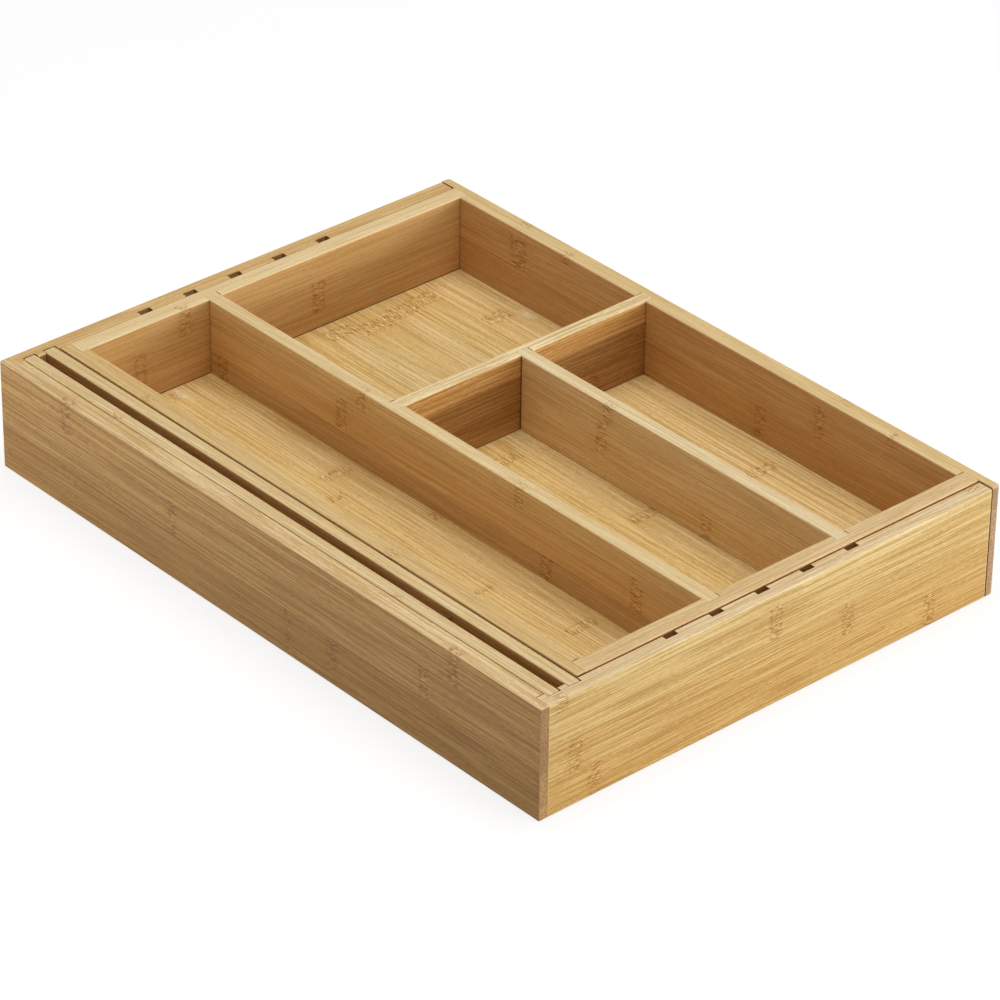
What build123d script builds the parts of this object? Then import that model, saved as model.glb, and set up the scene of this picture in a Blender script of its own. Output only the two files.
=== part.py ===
"""Bamboo cutlery tray that grows: a frame, an insert that slides out of its back, and two loose dividers.

Millimetres. +Z is up, +X runs to the right along the front panel, +Y runs from the front to the back.
The origin is on the table, in the middle of the closed tray.
Every board is eased along its edges first and then cut for its joints, as in a workshop.
"""

import os
from math import floor

from build123d import *

os.makedirs("parts", exist_ok=True)

# The closed tray
tray_width = 430.0
tray_depth = 314.0
frame_height = 65.4
insert_rise = 0.5  # the insert's top edges stand this far above the frame's
edge_radius = 0.9  # easing of every exposed edge
end_radius = 2.4  # rounding of the back wall's two outer upright edges
overrun = 5.0  # how far each cut runs past the wood that it removes

# The frame: a front panel, two sides and a bottom panel, open at the back
front_thickness = 10.4
front_lap = 5.6  # what the corner rabbets leave of the front panel's thickness
side_thickness = 9.7
frame_panel_thickness = 4.5
frame_panel_lift = 4.5  # from the table to the bottom panel

# Notches that hold a loose divider between the two sides
notch_width = 8.2
notch_depth = 3.5
notch_rib = 5.0  # wood between the first notch and the second
third_notch_setback = 87.0  # from the frame's front face to the third notch
notch_pitch = 30.9  # from the third notch on
plain_tail = 80.0  # rear length of the sides that stays free of notches

# Room for what moves
loose_face_gap = 0.4  # each side of a loose divider in its notch
loose_end_gap = 0.4  # beyond each end of a loose divider
floor_gap = 0.3  # under everything that stands on the frame's bottom panel
slide_gap = 0.8  # between the insert and each side of the frame
insert_front_gap = 0.7  # from the second notch to the insert
closing_gap = 0.8  # between the frame's rear ends and the insert's back wall

# The insert: four walls, a bottom panel and three fixed dividers
wall_thickness = 10.8
insert_lap = 6.2  # what the corner rabbets leave of the front wall's thickness
back_wall_thickness = 10.4
back_lap = 5.6  # what the corner rabbets leave of the back wall's thickness
divider_thickness = 8.4
insert_panel_thickness = 4.5
insert_panel_lift = 6.2  # from the walls' lower edge to the bottom panel
front_row_depth = 81.5  # the compartment in front of the long divider
middle_row_depth = 80.6  # from the long divider to the short one
left_column_width = 144.8  # from the left wall to the cross divider

# Glued joints
groove_depth = 4.5  # grooves for the bottom panels
wall_dado_depth = 4.4  # in the insert's side walls, for the dividers' ends
back_dado_depth = 4.7  # in the back wall, for the cross divider
divider_dado_depth = 4.1  # where one divider meets another

# Places along X, from the middle
half_width = tray_width / 2
side_inner_x = half_width - side_thickness
notch_end_x = side_inner_x + notch_depth
wall_outer_x = side_inner_x - slide_gap
wall_inner_x = wall_outer_x - wall_thickness
cross_left_x = left_column_width - wall_inner_x
cross_right_x = cross_left_x + divider_thickness
frame_panel_end_x = side_inner_x + groove_depth
insert_panel_end_x = wall_inner_x + groove_depth
divider_end_x = wall_inner_x + wall_dado_depth

# Places along Y, from the middle
front_y = -tray_depth / 2
back_y = tray_depth / 2
front_inner_y = front_y + front_thickness
back_inner_y = back_y - back_wall_thickness
wall_back_y = back_y - back_lap
side_back_y = wall_back_y - closing_gap
frame_panel_front_y = front_inner_y - groove_depth
frame_panel_back_y = back_inner_y - closing_gap
second_notch_y = front_inner_y + notch_width + notch_rib
third_notch_y = front_y + third_notch_setback
notch_room = side_back_y - plain_tail - notch_width - third_notch_y
spare_notches = floor(notch_room / notch_pitch) + 1
notch_fronts = [front_inner_y, second_notch_y]
notch_fronts += [third_notch_y + step * notch_pitch for step in range(spare_notches)]
insert_front_y = second_notch_y + notch_width + insert_front_gap
wall_front_y = insert_front_y + insert_lap
insert_inner_y = insert_front_y + wall_thickness
insert_panel_front_y = insert_inner_y - groove_depth
insert_panel_back_y = back_inner_y + groove_depth
long_front_y = insert_inner_y + front_row_depth
long_back_y = long_front_y + divider_thickness
short_front_y = long_back_y + middle_row_depth
short_back_y = short_front_y + divider_thickness

# Heights above the table
frame_floor_z = frame_panel_lift + frame_panel_thickness
insert_base_z = frame_floor_z + floor_gap
insert_panel_z = insert_base_z + insert_panel_lift
insert_floor_z = insert_panel_z + insert_panel_thickness
insert_top_z = frame_height + insert_rise


def block_between(x_one, x_two, y_one, y_two):
    """Draw the rectangle between two places along X and two along Y in the sketch that is open."""
    with Locations(((x_one + x_two) / 2, (y_one + y_two) / 2)):
        Rectangle(abs(x_two - x_one), abs(y_two - y_one))


def cut_full_height():
    """Cut the sketch just drawn on the table's plane through the board's whole height."""
    extrude(amount=insert_top_z + overrun, both=True, mode=Mode.SUBTRACT)


# Front panel, rabbeted at both ends for the sides and grooved for the bottom panel
with BuildPart() as frame_front_panel:
    with BuildSketch():
        block_between(-half_width, half_width, front_y, front_inner_y)
    extrude(amount=frame_height)
    fillet(frame_front_panel.edges(), edge_radius)
    with BuildSketch():
        block_between(side_inner_x, half_width + overrun, front_y + front_lap, front_inner_y + overrun)
        mirror(about=Plane.YZ)
    cut_full_height()
    with BuildSketch(Plane.XY.offset(frame_panel_lift)):
        block_between(
            -frame_panel_end_x, frame_panel_end_x, frame_panel_front_y, front_inner_y + overrun
        )
    extrude(amount=frame_panel_thickness, mode=Mode.SUBTRACT)


# Right side: a run of upright notches on its inner face and a groove for the bottom panel
with BuildPart() as frame_right_side:
    with BuildSketch():
        block_between(side_inner_x, half_width, front_y + front_lap, side_back_y)
    extrude(amount=frame_height)
    fillet(frame_right_side.edges().filter_by(Axis.Y), edge_radius)
    with BuildSketch():
        for notch_front in notch_fronts:
            block_between(side_inner_x - overrun, notch_end_x, notch_front, notch_front + notch_width)
    cut_full_height()
    with BuildSketch(Plane.XY.offset(frame_panel_lift)):
        block_between(side_inner_x - overrun, frame_panel_end_x, front_y, side_back_y + overrun)
    extrude(amount=frame_panel_thickness, mode=Mode.SUBTRACT)


# Left side, the right one's mirror image
with BuildPart() as frame_left_side:
    mirror(frame_right_side.part, about=Plane.YZ)


# Bottom panel of the frame, held on three edges
with BuildPart() as frame_bottom_panel:
    with BuildSketch(Plane.XY.offset(frame_panel_lift)):
        block_between(-frame_panel_end_x, frame_panel_end_x, frame_panel_front_y, frame_panel_back_y)
    extrude(amount=frame_panel_thickness)


def loose_divider(notch_front):
    """A plain eased board that stands in the notch that starts at notch_front."""
    end_x = notch_end_x - loose_end_gap
    with BuildPart() as board:
        with BuildSketch(Plane.XY.offset(frame_floor_z + floor_gap)):
            block_between(
                -end_x, end_x, notch_front + loose_face_gap, notch_front + notch_width - loose_face_gap
            )
        extrude(amount=frame_height - frame_floor_z - floor_gap)
        fillet(board.edges(), edge_radius)
    return board


loose_divider_front = loose_divider(front_inner_y)
loose_divider_rear = loose_divider(second_notch_y)


# Front wall of the insert, rabbeted at both ends for the side walls
with BuildPart() as insert_front_wall:
    with BuildSketch(Plane.XY.offset(insert_base_z)):
        block_between(-wall_outer_x, wall_outer_x, insert_front_y, insert_inner_y)
    extrude(amount=insert_top_z - insert_base_z)
    fillet(insert_front_wall.edges(), edge_radius)
    with BuildSketch():
        block_between(wall_inner_x, wall_outer_x + overrun, wall_front_y, insert_inner_y + overrun)
        mirror(about=Plane.YZ)
    cut_full_height()
    with BuildSketch(Plane.XY.offset(insert_panel_z)):
        block_between(
            -insert_panel_end_x, insert_panel_end_x, insert_panel_front_y, insert_inner_y + overrun
        )
    extrude(amount=insert_panel_thickness, mode=Mode.SUBTRACT)


# Back wall of the insert: as wide as the frame, it closes the frame's open back and stands on the table.
# Each end rabbet holds a side wall of the insert and, beside it, the tail of the frame's side.
with BuildPart() as insert_back_wall:
    with BuildSketch():
        block_between(-half_width, half_width, back_inner_y, back_y)
    extrude(amount=insert_top_z)
    back_uprights = insert_back_wall.edges().filter_by(Axis.Z).group_by(Axis.Y)[-1]
    fillet(back_uprights, end_radius)
    sharp_edges = insert_back_wall.edges().filter_by(Axis.Z, reverse=True)
    fillet(sharp_edges, edge_radius)
    with BuildSketch():
        block_between(wall_inner_x, half_width + overrun, back_inner_y - overrun, wall_back_y)
        mirror(about=Plane.YZ)
        block_between(
            cross_left_x, cross_right_x, back_inner_y - overrun, back_inner_y + back_dado_depth
        )
    cut_full_height()
    with BuildSketch(Plane.XY.offset(insert_panel_z)):
        block_between(
            -insert_panel_end_x, insert_panel_end_x, back_inner_y - overrun, insert_panel_back_y
        )
    extrude(amount=insert_panel_thickness, mode=Mode.SUBTRACT)


def insert_side_wall(side, dado_fronts):
    """A side wall of the insert, with a dado for each divider that ends in it.

    side is -1 for the left wall and 1 for the right one.
    """
    inner_x = side * wall_inner_x
    inside_x = side * (wall_inner_x - overrun)
    with BuildPart() as wall:
        with BuildSketch(Plane.XY.offset(insert_base_z)):
            block_between(inner_x, side * wall_outer_x, wall_front_y, wall_back_y)
        extrude(amount=insert_top_z - insert_base_z)
        fillet(wall.edges().filter_by(Axis.Y), edge_radius)
        with BuildSketch():
            for dado_front in dado_fronts:
                block_between(
                    inside_x, side * (wall_inner_x + wall_dado_depth),
                    dado_front, dado_front + divider_thickness,
                )
        cut_full_height()
        with BuildSketch(Plane.XY.offset(insert_panel_z)):
            block_between(
                inside_x, side * insert_panel_end_x, wall_front_y - overrun, wall_back_y + overrun
            )
        extrude(amount=insert_panel_thickness, mode=Mode.SUBTRACT)
    return wall


insert_left_wall = insert_side_wall(-1, [long_front_y])
insert_right_wall = insert_side_wall(1, [long_front_y, short_front_y])


# Bottom panel of the insert, held in grooves on all four edges
with BuildPart() as insert_bottom_panel:
    with BuildSketch(Plane.XY.offset(insert_panel_z)):
        block_between(
            -insert_panel_end_x, insert_panel_end_x, insert_panel_front_y, insert_panel_back_y
        )
    extrude(amount=insert_panel_thickness)


# Long divider, from one side wall to the other, with a dado for the cross divider
with BuildPart() as long_divider:
    with BuildSketch(Plane.XY.offset(insert_floor_z)):
        block_between(-divider_end_x, divider_end_x, long_front_y, long_back_y)
    extrude(amount=insert_top_z - insert_floor_z)
    fillet(long_divider.edges().filter_by(Axis.X).group_by(Axis.Z)[-1], edge_radius)
    with BuildSketch():
        block_between(cross_left_x, cross_right_x, long_back_y - divider_dado_depth, long_back_y + overrun)
    cut_full_height()


# Cross divider, from the long divider to the back wall, with a dado for the short divider
with BuildPart() as cross_divider:
    with BuildSketch(Plane.XY.offset(insert_floor_z)):
        block_between(
            cross_left_x, cross_right_x, long_back_y - divider_dado_depth, back_inner_y + back_dado_depth
        )
    extrude(amount=insert_top_z - insert_floor_z)
    fillet(cross_divider.edges().filter_by(Axis.Y).group_by(Axis.Z)[-1], edge_radius)
    with BuildSketch():
        block_between(
            cross_right_x - divider_dado_depth, cross_right_x + overrun, short_front_y, short_back_y
        )
    cut_full_height()


# Short divider, from the cross divider to the right wall
with BuildPart() as short_divider:
    with BuildSketch(Plane.XY.offset(insert_floor_z)):
        block_between(cross_right_x - divider_dado_depth, divider_end_x, short_front_y, short_back_y)
    extrude(amount=insert_top_z - insert_floor_z)
    fillet(short_divider.edges().filter_by(Axis.X).group_by(Axis.Z)[-1], edge_radius)


boards = {
    "frame_front_panel": frame_front_panel,
    "frame_left_side": frame_left_side,
    "frame_right_side": frame_right_side,
    "frame_bottom_panel": frame_bottom_panel,
    "loose_divider_front": loose_divider_front,
    "loose_divider_rear": loose_divider_rear,
    "insert_front_wall": insert_front_wall,
    "insert_back_wall": insert_back_wall,
    "insert_left_wall": insert_left_wall,
    "insert_right_wall": insert_right_wall,
    "insert_bottom_panel": insert_bottom_panel,
    "insert_long_divider": long_divider,
    "insert_cross_divider": cross_divider,
    "insert_short_divider": short_divider,
}
for name, board in boards.items():
    board.part.label = name
    export_step(board.part, f"parts/{name}.step")

print(f"The insert slides out by {notch_fronts[-1] - second_notch_y:.1f} mm, until its front wall")
print("stands behind the last notch as it stands behind the second one when the tray is closed.")
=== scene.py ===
"""The expanding bamboo cutlery tray on a white studio table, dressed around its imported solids."""
import math

import bpy
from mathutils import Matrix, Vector


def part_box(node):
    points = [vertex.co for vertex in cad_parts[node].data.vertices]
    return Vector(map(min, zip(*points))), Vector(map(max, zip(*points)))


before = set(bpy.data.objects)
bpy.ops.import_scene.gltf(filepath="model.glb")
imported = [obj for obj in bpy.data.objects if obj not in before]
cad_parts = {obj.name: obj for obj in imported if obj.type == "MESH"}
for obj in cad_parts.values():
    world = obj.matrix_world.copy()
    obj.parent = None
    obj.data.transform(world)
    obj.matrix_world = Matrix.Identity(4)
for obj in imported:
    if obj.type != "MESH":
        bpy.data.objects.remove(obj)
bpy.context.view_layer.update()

MM = 0.001

# Moso bamboo: strips split from the stem are steamed, planed and pressed into boards of two plies, then
# sanded and clear lacquered. The eye gets straw to honey coloured wood, another tone on every strip,
# long fine fibres, and on every strip, each 15 to 30 cm, a knuckle where the stem had its ring.
STRAW = "#DBBD83"
GOLD = "#D2AB69"
WARM_GOLD = "#CFA358"
SUN_GOLD = "#D1A85F"
LIGHT_GOLD = "#D6B16B"
BUTTER = "#DAB773"
FLOOR_OAT = "#D7B87A"
FLOOR_STRAW = "#D6B576"
FLOOR_GOLD = "#D4B26F"
SAND = "#CB9F62"
WHEAT = "#CFA566"
DUN = "#C89E66"
CORN = "#D9AD6E"
FLAX = "#DDB674"
CREAM = "#E0BD82"
HONEY = "#C8995E"
AMBER = "#C09053"
DEEP_AMBER = "#C0914B"
RUSSET = "#BA8C47"
DEEP_RUSSET = "#AC7D37"
CARAMEL = "#A67840"
TOFFEE = "#C89856"
GLUE_LINE = "#7D5526"
JOINT_SHADOW = "#3C1802"
# Pale spots on the insert's floor, near its left wall.
PALE_SPOT = "#F1E3C6"
# Paler wood on the sanded edges, and a painted highlight in the same colour where the eased edges catch the
# light.
SANDED_EDGE_AND_HIGHLIGHT = "#F0DDB2"
SAWN_TAN = "#BC9062"
SAWN_BROWN = "#A97838"
SAWN_GOLD = "#D2A462"
SAWN_PALE = "#D6B083"
BUNDLE_DOT = "#7A5230"

# Multiples of the strip's own tone: fibres, the finest of them, and a knuckle's surroundings and dashes.
PALE_FIBRE = (1.08, 1.16, 1.34, 1.0)
DARK_FIBRE = (0.91, 0.83, 0.68, 1.0)
PALE_HAIR = (1.22, 1.32, 1.56, 1.0)
DARK_HAIR = (0.78, 0.68, 0.46, 1.0)
KNUCKLE_TAN = (0.92, 0.82, 0.66, 1.0)
KNUCKLE_BROWN = (0.50, 0.35, 0.13, 1.0)
KNUCKLE_PALE = (1.35, 1.42, 1.70, 1.0)

# Sizes in mm; a pair is a length along the grain and a width across it.
STRIP_WIDTH = 19.3          # a strip as split from the stem
OTHER_STEM = (331.0, 57.0, 43.0)    # from one strip's place in the grain to the next one's
HAIR = (45.0, 0.55)         # real fibres are 0.3 mm wide, too fine to show, so these are drawn coarser
HAIR_STEP = 0.4             # to the fibres beside them
FIBRE = (130.0, 1.3)        # fibres that lie together and look like one
BUNDLE = (170.0, 4.0)
CLOUD = (95.0, 12.0)        # soft shade that spans much of a strip
WAVE = (120.0, 30.0)        # the slow bend of the grain
GRAIN_BEND = 3.5            # how far it goes to a side
SPECKLE = (3.4, 0.58)       # the cut fibres in a knuckle
CLUSTER = (3.0, 4.5)        # how the cut fibres gather
RAGGED = (9.0, 1.6)         # how a knuckle's two lines break up
RAGGED_REACH = 4.5          # how far they stray along the grain
SEAM_WIDTH = 0.4            # a glue line between strips, to one side of the seam
JOINT_BLUR = 0.2            # to each side of a joint line's border
BUNDLE_SPACING = 1.1        # on the sawn ends; real bundles stand 0.5 to 1 mm apart, too fine to show
BUNDLE_LENGTH = 60.0
BUMP_DEPTH = 0.03
NO_KNUCKLE = 99.0           # the reach given to the other strips, in half lengths

# The noise: how far on in it each board starts by its number, and how rough it is.
BOARD_STEP = (5.3, 2.9, 1.3)
GRAIN_ROUGHNESS = 0.55
SHADE_STEP = 0.37           # for the shades of its sawn ends

# Ramps: the values where each starts and ends, then what it gives there, which is 0 and 1 where not said.
CLOUD_DEPTH = (0.2, 0.8, 0.38, 0.62)
KNUCKLE_CLUSTER = (0.34, 0.58, 0.45, 1.0)
KNUCKLE_CORE = (1.4, 0.8)               # by the knuckle's half lengths from its middle, as the next one
KNUCKLE_HALO = (3.5, 0.5, 0.0, 0.4)
DARK_DASH = (0.49, 0.58, 0.0, 0.9)
PALE_DASH = (0.46, 0.36, 0.0, 0.85)
RIM_LINE = (0.20, 0.02)
RIM_BREAK = (0.42, 0.60, 0.0, 0.5)
CORE_LINE = (0.4, 0.1, 0.0, 0.2)        # by the distance in mm from the glue between the plies
PALE_SPOT_FADE = (1.3, 0.2)                # by the spot's half sizes from its middle
PALE_SPOT_FIBRE = (0.15, 1.0, 0.0, 0.75)
END_DOT = (0.62, 0.25, 0.0, 0.6)
# The sanded edges' pale rim, which also carries a painted highlight.
SANDED_AND_HIGHLIT_RIM = (0.75, 0.4, 0.0, 0.22)     # by the distance in mm from the board's edge
SHEEN_BREAK = (0.3, 0.7, 0.44, 0.56)    # the lacquer's roughness by its fibres
TO_NEAR_FACE = (0.2, 0.1)               # by how squarely it faces across the strips, as the next one
TO_EDGE = (0.55, 0.85)
TO_END = (0.6, 0.85)                    # by how squarely it faces along the grain

# Shares and strengths.
PLY_SHIFT = 0.42            # of a strip, by which the ply behind is set off
EDGE_FIGURE = 0.7           # of the fibres' strength, on the board's narrow edges
FAINTER_KNUCKLE = 0.3       # how much a knuckle follows the fibres' strength
EDGE_HONEY = 0.12           # of honey in the tone of the edge of the ply behind
FIBRE_CONTRAST = 1.5
FIBRE_START = -0.3
BUNDLE_CONTRAST = 0.1
HAIR_CONTRAST = 4.3
SPECKLE_CONTRAST = 2.8
HAIR_START = -0.9
SEAM_SHADE = 0.2
JOINT_SHADE = 0.8
STRIP_SHADE = 0.75          # the most by which a strip's sawn end is darker than another's
RIM_PLACE = 0.95            # of the knuckle's half length, where its two lines run
BUMP_STRENGTH = 0.15
LACQUER_IOR = 1.45


def linear(code):
    """The linear colour of an sRGB hex value."""
    parts = [int(code[i:i + 2], 16) / 255 for i in (1, 3, 5)]
    return tuple(c / 12.92 if c <= 0.04045 else ((c + 0.055) / 1.055) ** 2.4 for c in parts) + (1.0,)


def add(tree, kind, *values, named=None, **settings):
    """Adds a node with its settings. Values, nodes or outputs fill its inputs, in order or by name."""
    node = tree.nodes.new(kind)
    for name, value in settings.items():
        setattr(node, name, value)
    places = list(zip([s for s in node.inputs if s.enabled], values))
    places += [(node.inputs[name], value) for name, value in (named or {}).items()]
    for socket, value in places:
        if isinstance(value, bpy.types.Node):
            value = next(s for s in value.outputs if s.enabled)
        if isinstance(value, bpy.types.NodeSocket):
            tree.links.new(value, socket)
        elif value is not None:
            socket.default_value = value
    return node


def board_axes(grain, stack):
    """The numbers of a board's three axes: along the grain, across its strips, through its plies."""
    along, across = "XYZ".index(grain), "XYZ".index(stack)
    return along, across, 3 - along - across


def board_frame(tree, axes):
    """The surface's place in mm, and which way it faces, both as (along, across, through)."""
    coordinates = add(tree, "ShaderNodeTexCoord")
    place = add(tree, "ShaderNodeVectorMath", coordinates.outputs["Object"], 1 / MM, operation="SCALE")
    place = add(tree, "ShaderNodeSeparateXYZ", place)
    facing = add(tree, "ShaderNodeVectorMath", coordinates.outputs["Normal"], operation="ABSOLUTE")
    facing = add(tree, "ShaderNodeSeparateXYZ", facing)
    return [place.outputs[a] for a in axes], [facing.outputs[a] for a in axes]


def ply_place(tree, along, across, behind):
    """The ply behind is another row of strips, turned end for end and set off by part of a strip."""
    turn = add(tree, "ShaderNodeMath", behind, -2.0, 1.0, operation="MULTIPLY_ADD")
    along = add(tree, "ShaderNodeMath", along, turn, operation="MULTIPLY")
    across = add(tree, "ShaderNodeMath", behind, STRIP_WIDTH * PLY_SHIFT, across, operation="MULTIPLY_ADD")
    return along, across


def strip_place(tree, across, seam):
    """The number of the strip, counted from the seam, and how far across the strip the surface is."""
    row = add(tree, "ShaderNodeMath", across, seam, operation="SUBTRACT")
    row = add(tree, "ShaderNodeMath", row, STRIP_WIDTH, operation="DIVIDE")
    strip = add(tree, "ShaderNodeMath", row, operation="FLOOR")
    return strip, add(tree, "ShaderNodeMath", row, strip, operation="SUBTRACT")


def grain_noise(tree, place, size, seed, detail=2.0):
    """Noise drawn out along the grain: size is its length and width in mm."""
    length, width = size
    at = add(tree, "ShaderNodeMapping", place, [seed * step for step in BOARD_STEP], None,
             (1 / length, 1 / width, 1 / width))
    return add(tree, "ShaderNodeTexNoise", at, 1.0, detail, GRAIN_ROUGHNESS)


def stem_place(tree, place, strip, seed):
    """The place in the strip's own stem, since every strip is another piece of one: straight, and bent."""
    other_stem = add(tree, "ShaderNodeVectorMath", OTHER_STEM, strip, operation="SCALE")
    straight = add(tree, "ShaderNodeVectorMath", place, other_stem, operation="ADD")
    wave = grain_noise(tree, straight, WAVE, seed)
    wave = add(tree, "ShaderNodeMath", wave, 0.5, operation="SUBTRACT")
    wave = add(tree, "ShaderNodeCombineXYZ", 0.0, wave, 0.0)
    bent = add(tree, "ShaderNodeVectorMath", wave, (0, GRAIN_BEND, 0), straight, operation="MULTIPLY_ADD")
    return straight, bent


def bamboo_fibres(tree, straight, bent, seed):
    """The noises that draw one board's fibres and knuckles, each under what it draws."""
    beside = add(tree, "ShaderNodeVectorMath", bent, (0, HAIR_STEP, HAIR_STEP), operation="ADD")
    cluster = grain_noise(tree, straight, CLUSTER, seed, 1.0)
    return {
        "hair": grain_noise(tree, bent, HAIR, seed, 0.0),
        "hair beside": grain_noise(tree, beside, HAIR, seed, 0.0),
        "fibre": grain_noise(tree, bent, FIBRE, seed, 3.0),
        "bundle": grain_noise(tree, bent, BUNDLE, seed, 3.0),
        "cloud": grain_noise(tree, bent, CLOUD, seed),
        "speckle": grain_noise(tree, straight, SPECKLE, seed, 1.0),
        "cluster": add(tree, "ShaderNodeMapRange", cluster, *KNUCKLE_CLUSTER),
        "ragged": grain_noise(tree, straight, RAGGED, seed),
    }


def strip_tones(tree, number, tones):
    """Each strip's own colour, by its number from the lowest, and again from the start after the last."""
    turn = add(tree, "ShaderNodeMath", number, 0.5, operation="ADD")
    turn = add(tree, "ShaderNodeMath", turn, len(tones), operation="DIVIDE")
    turn = add(tree, "ShaderNodeMath", turn, operation="FRACT")
    ramp = add(tree, "ShaderNodeValToRGB", turn)
    ramp.color_ramp.interpolation = "CONSTANT"
    steps = ramp.color_ramp.elements
    steps[1].position = 1 / len(tones)
    for i in range(2, len(tones)):
        steps.new(i / len(tones))
    for step, tone in zip(steps, tones):
        step.color = linear(tone)
    return ramp


def edge_tones(tree, tone, edge, behind, on_edge):
    """The board's narrow edges, of one tone, and a little nearer to honey on the ply behind."""
    ply_behind = add(tree, "ShaderNodeMix", EDGE_HONEY, linear(edge), linear(HONEY), data_type="RGBA")
    edge_tone = add(tree, "ShaderNodeMix", behind, linear(edge), ply_behind, data_type="RGBA")
    return add(tree, "ShaderNodeMix", on_edge, tone, edge_tone, data_type="RGBA")


def fibre_figure(tree, tone, fibres, shown):
    """The strip's tone under soft clouds, its fibres and the finest of them."""
    cloud_depth = add(tree, "ShaderNodeMapRange", fibres["cloud"], *CLOUD_DEPTH)
    fibre_depth = add(tree, "ShaderNodeMath", fibres["fibre"], FIBRE_CONTRAST, FIBRE_START,
                      operation="MULTIPLY_ADD")
    fibre_depth = add(tree, "ShaderNodeMath", fibres["bundle"], BUNDLE_CONTRAST, fibre_depth,
                      operation="MULTIPLY_ADD")
    fibre_depth = add(tree, "ShaderNodeClamp", fibre_depth)
    # The finest fibres are drawn by how much they differ from the ones beside them, which keeps them fine.
    hair_depth = add(tree, "ShaderNodeMath", fibres["hair"], fibres["hair beside"], operation="SUBTRACT")
    hair_depth = add(tree, "ShaderNodeMath", hair_depth, HAIR_CONTRAST, HAIR_START,
                     operation="MULTIPLY_ADD")
    hair_depth = add(tree, "ShaderNodeMath", fibres["speckle"], SPECKLE_CONTRAST, hair_depth,
                     operation="MULTIPLY_ADD")
    hair_depth = add(tree, "ShaderNodeClamp", hair_depth)
    wood = tone
    for share, depth, pale, dark in ((1.0, cloud_depth, PALE_FIBRE, DARK_FIBRE),
                                     (shown, fibre_depth, PALE_FIBRE, DARK_FIBRE),
                                     (shown, hair_depth, PALE_HAIR, DARK_HAIR)):
        shade = add(tree, "ShaderNodeMix", depth, pale, dark, data_type="RGBA")
        wood = add(tree, "ShaderNodeMix", share, wood, shade, data_type="RGBA", blend_type="MULTIPLY")
    return wood


def knuckle_reach(tree, place, seam, knuckles):
    """How far the surface is from the nearest knuckle on its strip, as a share of its half length."""
    nearest = None
    for at, strip, half_length in knuckles:
        centre = (at, seam + (strip + 0.5) * STRIP_WIDTH)
        half = (half_length, STRIP_WIDTH / 2)
        off = add(tree, "ShaderNodeVectorMath", place, (1 / half[0], 1 / half[1], 0),
                  (-centre[0] / half[0], -centre[1] / half[1], 0), operation="MULTIPLY_ADD")
        off = add(tree, "ShaderNodeVectorMath", off, operation="ABSOLUTE")
        off = add(tree, "ShaderNodeSeparateXYZ", off)
        other_strip = add(tree, "ShaderNodeMath", off.outputs[1], 1.0, operation="GREATER_THAN")
        reach = add(tree, "ShaderNodeMath", other_strip, NO_KNUCKLE, off.outputs[0],
                    operation="MULTIPLY_ADD")
        if nearest is not None:
            reach = add(tree, "ShaderNodeMath", nearest, reach, operation="MINIMUM")
        nearest = reach
    return nearest


def knuckle_marks(tree, wood, fibres, reach, figure):
    """Short brown and pale dashes of cut fibre, gathered in clusters between two broken lines."""
    inside = add(tree, "ShaderNodeMapRange", reach, *KNUCKLE_CORE)
    inside = add(tree, "ShaderNodeMath", inside, fibres["cluster"], operation="MULTIPLY")
    strength = 1 - FAINTER_KNUCKLE * (1 - figure)
    inside = add(tree, "ShaderNodeMath", inside, strength, operation="MULTIPLY")
    around = add(tree, "ShaderNodeMapRange", reach, *KNUCKLE_HALO)
    dark_dash = add(tree, "ShaderNodeMapRange", fibres["speckle"], *DARK_DASH)
    dark_dash = add(tree, "ShaderNodeMath", dark_dash, inside, operation="MULTIPLY")
    pale_dash = add(tree, "ShaderNodeMapRange", fibres["speckle"], *PALE_DASH)
    pale_dash = add(tree, "ShaderNodeMath", pale_dash, inside, operation="MULTIPLY")
    rim = add(tree, "ShaderNodeMath", reach, RIM_PLACE, operation="SUBTRACT")
    rim = add(tree, "ShaderNodeMath", rim, operation="ABSOLUTE")
    rim = add(tree, "ShaderNodeMapRange", rim, *RIM_LINE)
    broken = add(tree, "ShaderNodeMapRange", fibres["hair"], *RIM_BREAK)
    rim = add(tree, "ShaderNodeMath", rim, broken, operation="MULTIPLY")
    for share, shade in ((around, KNUCKLE_TAN), (dark_dash, KNUCKLE_BROWN), (pale_dash, KNUCKLE_PALE),
                         (rim, KNUCKLE_BROWN)):
        wood = add(tree, "ShaderNodeMix", share, wood, shade, data_type="RGBA", blend_type="MULTIPLY")
    return wood


def glue_lines(tree, wood, in_strip, through, core):
    """Thin glue lines between neighbouring strips, and between the two plies on the board's edges."""
    from_middle = add(tree, "ShaderNodeMath", in_strip, 0.5, operation="SUBTRACT")
    from_middle = add(tree, "ShaderNodeMath", from_middle, operation="ABSOLUTE")
    seam_start = 0.5 - SEAM_WIDTH / STRIP_WIDTH
    seam_line = add(tree, "ShaderNodeMapRange", from_middle, seam_start, 0.5, 0.0, SEAM_SHADE)
    from_core = add(tree, "ShaderNodeMath", through, core, operation="SUBTRACT")
    from_core = add(tree, "ShaderNodeMath", from_core, operation="ABSOLUTE")
    core_line = add(tree, "ShaderNodeMapRange", from_core, *CORE_LINE)
    glue = add(tree, "ShaderNodeMath", seam_line, core_line, operation="MAXIMUM")
    return add(tree, "ShaderNodeMix", glue, wood, linear(GLUE_LINE), data_type="RGBA")


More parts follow.
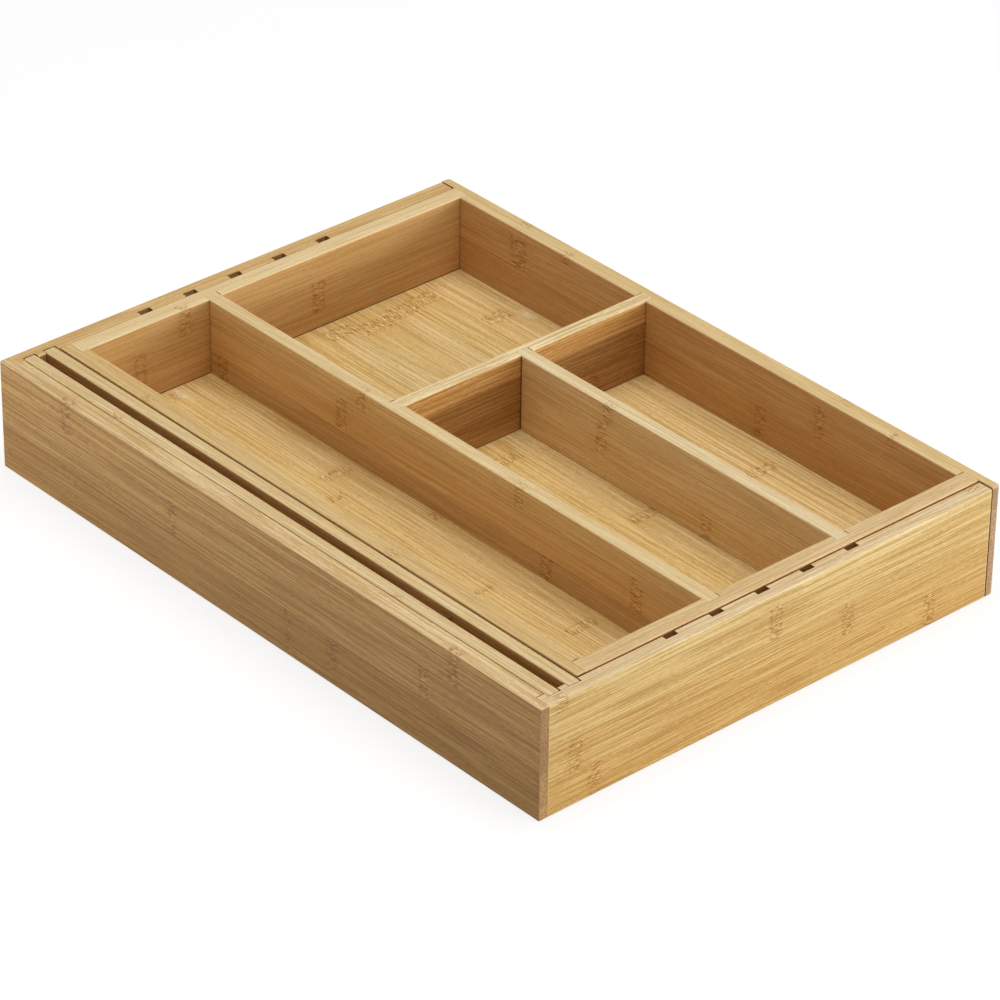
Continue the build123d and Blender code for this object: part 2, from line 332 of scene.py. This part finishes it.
def joint_shadow(tree, wood, place, where, half_width, on_near_face):
    """The dark line where another board is glued to this one's near face."""
    off = add(tree, "ShaderNodeMath", place, where, operation="SUBTRACT")
    off = add(tree, "ShaderNodeMath", off, operation="ABSOLUTE")
    border = (half_width + JOINT_BLUR, half_width - JOINT_BLUR)
    shadow = add(tree, "ShaderNodeMapRange", off, *border, 0.0, JOINT_SHADE)
    shadow = add(tree, "ShaderNodeMath", shadow, on_near_face, operation="MULTIPLY")
    return add(tree, "ShaderNodeMix", shadow, wood, linear(JOINT_SHADOW), data_type="RGBA")


def pale_spot(tree, wood, place, spot, cluster):
    """A pale spot on the wood, drawn along its fibres; spot is its place and its half sizes."""
    at, side, half_length, half_width = spot
    off = add(tree, "ShaderNodeVectorMath", place, (1 / half_length, 1 / half_width, 0),
              (-at / half_length, -side / half_width, 0), operation="MULTIPLY_ADD")
    off = add(tree, "ShaderNodeVectorMath", off, operation="LENGTH")
    paleness = add(tree, "ShaderNodeMapRange", off.outputs["Value"], *PALE_SPOT_FADE)
    spot_fibre = add(tree, "ShaderNodeMapRange", cluster, *PALE_SPOT_FIBRE)
    paleness = add(tree, "ShaderNodeMath", paleness, spot_fibre, operation="MULTIPLY")
    return add(tree, "ShaderNodeMix", paleness, wood, linear(PALE_SPOT), data_type="RGBA")


def sawn_ends(tree, wood, end, straight, strip, end_facing, seed):
    """Sawn ends, where the bundles are cut across and show as dots, and every strip has its own shade."""
    on_end = add(tree, "ShaderNodeMapRange", end_facing, *TO_END)
    spacing = (1 / BUNDLE_LENGTH, 1 / BUNDLE_SPACING, 1 / BUNDLE_SPACING)
    dots = add(tree, "ShaderNodeMapping", straight, None, None, spacing)
    dots = add(tree, "ShaderNodeTexVoronoi", dots, 1.0)
    dots = add(tree, "ShaderNodeMapRange", dots.outputs["Distance"], *END_DOT)
    own_shade = add(tree, "ShaderNodeMath", strip, seed * SHADE_STEP, operation="ADD")
    own_shade = add(tree, "ShaderNodeTexWhiteNoise", own_shade, noise_dimensions="1D")
    own_shade = add(tree, "ShaderNodeMath", own_shade.outputs["Value"], STRIP_SHADE, operation="MULTIPLY")
    sawn = add(tree, "ShaderNodeMix", own_shade, linear(end), linear(BUNDLE_DOT), data_type="RGBA")
    sawn = add(tree, "ShaderNodeMix", dots, sawn, linear(BUNDLE_DOT), data_type="RGBA")
    return add(tree, "ShaderNodeMix", on_end, wood, sawn, data_type="RGBA")


def edge_distance(tree, lo, hi):
    """How far the surface is from the board's nearest edge, in mm."""
    middle = [-(a + b) / 2 / MM for a, b in zip(lo, hi)]
    half = [(b - a) / 2 / MM for a, b in zip(lo, hi)]
    place = add(tree, "ShaderNodeTexCoord").outputs["Object"]
    off = add(tree, "ShaderNodeVectorMath", place, 1 / MM, operation="SCALE")
    off = add(tree, "ShaderNodeVectorMath", off, middle, operation="ADD")
    off = add(tree, "ShaderNodeVectorMath", off, operation="ABSOLUTE")
    off = add(tree, "ShaderNodeVectorMath", half, off, operation="SUBTRACT")
    off = add(tree, "ShaderNodeSeparateXYZ", off)
    # On a face one of the three is nought, so the middle one of them is the distance to the next face.
    low = add(tree, "ShaderNodeMath", off.outputs[0], off.outputs[1], operation="MINIMUM")
    high = add(tree, "ShaderNodeMath", off.outputs[0], off.outputs[1], operation="MAXIMUM")
    high = add(tree, "ShaderNodeMath", high, off.outputs[2], operation="MINIMUM")
    return add(tree, "ShaderNodeMath", low, high, operation="MAXIMUM")


def sanded_and_highlit_edges(tree, wood, lo, hi):
    """Eased edges, sanded down to paler wood, and with that pale colour a painted highlight along them."""
    worn_and_highlit = add(tree, "ShaderNodeMapRange", edge_distance(tree, lo, hi), *SANDED_AND_HIGHLIT_RIM)
    return add(tree, "ShaderNodeMix", worn_and_highlit, wood, linear(SANDED_EDGE_AND_HIGHLIGHT), data_type="RGBA")


def clear_lacquer(tree, wood, fibre):
    """A thin satin lacquer, in which the fibres can just be felt and break up the sheen."""
    bump = add(tree, "ShaderNodeBump",
               named={"Strength": BUMP_STRENGTH, "Distance": BUMP_DEPTH * MM, "Height": fibre})
    sheen_break = add(tree, "ShaderNodeMapRange", fibre, *SHEEN_BREAK)
    surface = add(tree, "ShaderNodeBsdfPrincipled",
                  named={"Base Color": wood, "Roughness": sheen_break, "IOR": LACQUER_IOR, "Normal": bump})
    add(tree, "ShaderNodeOutputMaterial", surface)


def lacquered_bamboo(name, grain, stack, seam, strips, edge, knuckles, end=SAWN_TAN, figure=1.0,
                     front_ply_low=True, joints=(), pale_spots=()):
    """Pressed, sanded and lacquered bamboo for one board, placed by its strips' lowest seam in mm.

    figure is how strongly its fibres show; joints are the dark lines on its near face, each as the way it
    is measured (along the grain or across it), its place and its half width in mm; its pale spots are
    given with their places and half sizes in mm.
    """
    seed = 1 + sorted(TRAY_BOARDS).index(name)
    axes = board_axes(grain, stack)
    lo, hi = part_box(name)
    core = (lo[axes[2]] + hi[axes[2]]) / 2 / MM

    material = bpy.data.materials.new("lacquered_bamboo_" + name)
    material.use_nodes = True
    tree = material.node_tree
    tree.nodes.clear()
    (along, across, through), (end_facing, edge_facing, _) = board_frame(tree, axes)
    behind = add(tree, "ShaderNodeMath", through, core,
                 operation="GREATER_THAN" if front_ply_low else "LESS_THAN")
    on_edge = add(tree, "ShaderNodeMapRange", edge_facing, *TO_EDGE)
    on_near_face = add(tree, "ShaderNodeMapRange", edge_facing, *TO_NEAR_FACE)
    on_near_face = add(tree, "ShaderNodeMath", on_near_face, behind, operation="SUBTRACT", use_clamp=True)

    along, across = ply_place(tree, along, across, behind)
    strip, in_strip = strip_place(tree, across, seam)
    place = add(tree, "ShaderNodeCombineXYZ", along, across, through)
    straight, bent = stem_place(tree, place, strip, seed)
    fibres = bamboo_fibres(tree, straight, bent, seed)

    wood = strip_tones(tree, add(tree, "ShaderNodeMath", strip, behind, operation="ADD"), strips)
    wood = edge_tones(tree, wood, edge, behind, on_edge)
    shown = add(tree, "ShaderNodeMapRange", on_edge, 0.0, 1.0, figure, EDGE_FIGURE * figure)
    wood = fibre_figure(tree, wood, fibres, shown)

    ragged = add(tree, "ShaderNodeMath", fibres["ragged"], 0.5, operation="SUBTRACT")
    ragged = add(tree, "ShaderNodeMath", ragged, RAGGED_REACH, along, operation="MULTIPLY_ADD")
    ragged_place = add(tree, "ShaderNodeCombineXYZ", ragged, across, 0.0)
    wood = knuckle_marks(tree, wood, fibres, knuckle_reach(tree, ragged_place, seam, knuckles), figure)

    wood = glue_lines(tree, wood, in_strip, through, core)
    for way, where, half_width in joints:
        measured = along if way == "along" else across
        wood = joint_shadow(tree, wood, measured, where, half_width, on_near_face)
    for spot in pale_spots:
        wood = pale_spot(tree, wood, ragged_place, spot, fibres["cluster"])
    wood = sawn_ends(tree, wood, end, straight, strip, end_facing, seed)
    # The eased edges' paler sanded wood, which is partly a painted highlight.
    wood = sanded_and_highlit_edges(tree, wood, lo, hi)
    clear_lacquer(tree, wood, fibres["fibre"])
    return material


# Every board's strips from the lowest up, its edge and end tones, and its knuckles as
# (mm along the grain, strip number, half length in mm), as the photograph shows them where it does.
TRAY_BOARDS = {
    "frame_front_panel": dict(
        grain="X", stack="Z", figure=1.1, seam=7.8 - STRIP_WIDTH,
        strips=(DEEP_RUSSET, DEEP_RUSSET, RUSSET, DEEP_AMBER), edge="#D0B078", end=SAWN_GOLD,
        knuckles=((-158, 3, 3.3), (151, 3, 3.5), (-69, 2, 2.7), (130, 2, 3.3), (59, 1, 3.9), (24, 1, 2.3))),
    "frame_left_side": dict(
        grain="Y", stack="Z", figure=0.85, seam=-1.0,
        strips=(GOLD, HONEY, GOLD, HONEY), edge="#CDA767", end=SAWN_BROWN, front_ply_low=False,
        knuckles=((-96, 0, 3.3), (60, 1, 3.1), (-30, 2, 3.4), (118, 2, 3.0))),
    "frame_right_side": dict(
        grain="Y", stack="Z", figure=0.8, seam=38.9 - 2 * STRIP_WIDTH,
        strips=(WARM_GOLD, SUN_GOLD, LIGHT_GOLD, BUTTER), edge="#D8BD8D", end=SAWN_BROWN,
        front_ply_low=False,
        knuckles=((-121, 0, 3.3), (109, 0, 3.3), (-134, 1, 3.6), (50, 1, 3.4), (-1, 2, 3.6),
                  (-143, 3, 3.1))),
    "frame_bottom_panel": dict(
        grain="X", stack="Y", figure=0.9, seam=-150.0,
        strips=(GOLD, STRAW, HONEY, GOLD, STRAW), edge="#D2B276", front_ply_low=False,
        knuckles=((-120, 0, 3.3), (70, 1, 3.1), (-20, 3, 3.4), (150, 5, 3.1), (-170, 7, 3.4),
                  (40, 9, 3.1), (-60, 12, 3.3))),
    "loose_divider_front": dict(
        grain="X", stack="Z", figure=0.7, seam=8.4,
        strips=(HONEY, GOLD, GOLD), edge="#D3B882",
        knuckles=((-130, 2, 3.1), (95, 2, 2.8), (10, 1, 3.4), (170, 1, 3.1), (-60, 0, 3.3))),
    "loose_divider_rear": dict(
        grain="X", stack="Z", figure=0.7, seam=5.0,
        strips=(HONEY, GOLD, HONEY), edge="#D2B67E",
        knuckles=((-79, 2, 3.1), (120, 2, 3.1), (-150, 1, 3.4), (40, 1, 3.1), (90, 0, 3.3))),
    "insert_front_wall": dict(
        grain="X", stack="Z", figure=0.7, seam=9.0,
        strips=(GOLD, HONEY, GOLD), edge="#CCA96B",
        knuckles=((-132, 2, 3.1), (64, 2, 2.8), (-20, 1, 3.3), (150, 0, 3.1))),
    "insert_back_wall": dict(
        grain="X", stack="Z", figure=0.5, seam=2.7,
        strips=(AMBER, AMBER, HONEY, HONEY), edge="#D4B67B", end=SAWN_PALE,
        joints=(("along", -193.7, 0.4), ("along", -40.5, 0.4)),
        knuckles=((-144, 2, 5.5), (-106, 3, 3.1), (94, 2, 3.4), (50, 1, 3.4), (146, 3, 3.1),
                  (-40, 0, 3.1))),
    "insert_left_wall": dict(
        grain="Y", stack="Z", figure=0.45, seam=49.4 - 2 * STRIP_WIDTH,
        strips=(HONEY, SAND, WHEAT), edge="#DEC38D", front_ply_low=False,
        joints=(("across", 20.0, 0.75),),
        knuckles=((-49, 2, 3.4), (-80, 1, 3.4), (44, 1, 3.7), (-10, 0, 3.1))),
    "insert_right_wall": dict(
        grain="Y", stack="Z", figure=0.7, seam=6.0,
        strips=(GOLD, HONEY, GOLD), edge="#D0B07A",
        knuckles=((38, 2, 3.1), (-70, 1, 3.3), (90, 1, 3.1), (0, 0, 3.1))),
    "insert_bottom_panel": dict(
        grain="X", stack="Y", figure=0.75, seam=-37.3 - 6 * STRIP_WIDTH,
        strips=(FLOOR_STRAW, FLOOR_OAT, FLOOR_GOLD, FLOOR_OAT, FLOOR_GOLD, FLOOR_STRAW, FLOOR_GOLD),
        edge="#D2B276", front_ply_low=False, pale_spots=((-185, -59, 9, 3.5), (-131, 142, 6, 3)),
        knuckles=((66, 10, 3.4), (-22, 9, 3.6), (73, 14, 3.4), (-69, 5, 3.7), (123, 5, 3.1),
                  (-4, 6, 2.7), (-51, 4, 2.3), (67, 4, 2.5), (-139, 14, 4.5), (-180, 13, 5.2),
                  (-178, 12, 5.4), (-175, 11, 5.4), (-182, 10, 4.6), (-186, 4, 3.4), (-160, 7, 2.3))),
    "insert_long_divider": dict(
        grain="X", stack="Z", figure=0.52, seam=34.5 - STRIP_WIDTH,
        strips=(DUN, CORN, FLAX), edge="#D9BE88", joints=(("along", -193.7, 0.4),),
        knuckles=((-67, 2, 3.3), (58, 2, 2.8), (-83, 1, 3.7), (147, 1, 3.6), (-183, 0, 3.6),
                  (80, 0, 3.9))),
    "insert_cross_divider": dict(
        grain="Y", stack="Z", figure=0.95, seam=53.4 - 2 * STRIP_WIDTH,
        strips=(CARAMEL, CARAMEL, TOFFEE), edge="#DDC490", front_ply_low=False,
        joints=(("across", 20.0, 0.7), ("along", 56.8, 0.4)),
        knuckles=((110, 0, 3.1),)),
    "insert_short_divider": dict(
        grain="X", stack="Z", figure=0.55, seam=34.0 - STRIP_WIDTH,
        strips=(CREAM, CREAM, CREAM), edge="#DDC697",
        joints=(("along", -40.5, 0.7), ("across", 20.0, 0.35)),
        knuckles=((28, 2, 3.3), (23, 1, 3.6), (104, 0, 3.3))),
}

for piece, board in TRAY_BOARDS.items():
    finish = lacquered_bamboo(piece, **board)
    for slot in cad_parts[piece].material_slots:
        slot.material = finish


WHITE = "#FFFFFF"
TABLE_PAPER = "#AAAAAA"     # what the tray is lit by from below
PAPER_GLOW = 1.05           # over full white, so that the seen table is white where no shadow lies
GLOW_SHARE = 0.75           # of the seen paper, the rest of it takes the tray's shadow
TABLE_REACH = 12.0          # m to each side
ROOM_FILL = 0.12            # of full light, from all round


def seen_background(tree):
    """One for the rays that show the background itself: the camera's, and those in gloss and glass."""
    rays = add(tree, "ShaderNodeLightPath").outputs
    seen = add(tree, "ShaderNodeMath", rays["Is Camera Ray"], rays["Is Glossy Ray"], operation="MAXIMUM")
    return add(tree, "ShaderNodeMath", seen, rays["Is Transmission Ray"], operation="MAXIMUM")


def studio_table():
    """A wide table under matt white paper, seen as white with the tray's soft shadow on it."""
    mesh = bpy.data.meshes.new("white_table")
    corners = [(x * TABLE_REACH, y * TABLE_REACH, 0) for x, y in ((-1, -1), (1, -1), (1, 1), (-1, 1))]
    mesh.from_pydata(corners, [], [(0, 1, 2, 3)])
    table = bpy.data.objects.new("white_table", mesh)
    bpy.context.scene.collection.objects.link(table)
    material = bpy.data.materials.new("matt_white_paper")
    material.use_nodes = True
    tree = material.node_tree
    tree.nodes.clear()
    lit_paper = add(tree, "ShaderNodeBsdfDiffuse", linear(TABLE_PAPER))
    white_paper = add(tree, "ShaderNodeBsdfDiffuse", linear(WHITE))
    glow = add(tree, "ShaderNodeEmission", linear(WHITE), PAPER_GLOW)
    white_paper = add(tree, "ShaderNodeMixShader", GLOW_SHARE, white_paper, glow)
    paper = add(tree, "ShaderNodeMixShader", seen_background(tree), lit_paper, white_paper)
    add(tree, "ShaderNodeOutputMaterial", paper)
    table.data.materials.append(material)


def studio_world():
    """Even pale light from all round, and white behind everything."""
    world = bpy.data.worlds.new("studio")
    bpy.context.scene.world = world
    world.use_nodes = True
    tree = world.node_tree
    tree.nodes.clear()
    fill = add(tree, "ShaderNodeBackground", linear(WHITE), ROOM_FILL)
    white = add(tree, "ShaderNodeBackground", linear(WHITE), 1.0)
    add(tree, "ShaderNodeOutputWorld", add(tree, "ShaderNodeMixShader", seen_background(tree), fill, white))


def softbox(name, place, size, level, target=(0, 0, 0.03)):
    """A rectangular softbox; level is the share of full light that it gives a surface facing it."""
    lamp = bpy.data.lights.new(name, "AREA")
    lamp.shape = "RECTANGLE"
    lamp.size, lamp.size_y = size
    way = Vector(target) - Vector(place)
    lamp.energy = level * math.pi ** 2 * way.length_squared
    holder = bpy.data.objects.new(name, lamp)
    holder.location = place
    holder.rotation_euler = way.to_track_quat("-Z", "Y").to_euler()
    bpy.context.scene.collection.objects.link(holder)


def studio_camera():
    """The long lens that sees the tray as the photograph does, from above its front right corner."""
    lens = bpy.data.cameras.new("long_lens")
    lens.lens = 184.65687
    lens.sensor_width = 36.0
    camera = bpy.data.objects.new("long_lens", lens)
    camera.location = (1.705608, -1.514634, 1.437395)
    camera.rotation_euler = [math.radians(a) for a in (58.1004, -0.67452, 48.68474)]
    bpy.context.scene.collection.objects.link(camera)
    bpy.context.scene.camera = camera


studio_table()
studio_world()
# Each softbox's place and size are in m.
softbox("overhead_softbox", (0.1, 0.1, 1.7), (1.6, 1.5), 0.97)
softbox("right_window", (2.0, 0.9, 0.26), (1.6, 0.5), 0.66)
softbox("front_fill", (-0.5, -1.7, 0.6), (1.2, 0.8), 0.10)
softbox("left_front_card", (-0.5, -0.6, 0.06), (0.3, 0.12), 0.36, target=(-0.12, -0.157, 0.03))
studio_camera()

bpy.context.scene.view_settings.view_transform = "Standard"
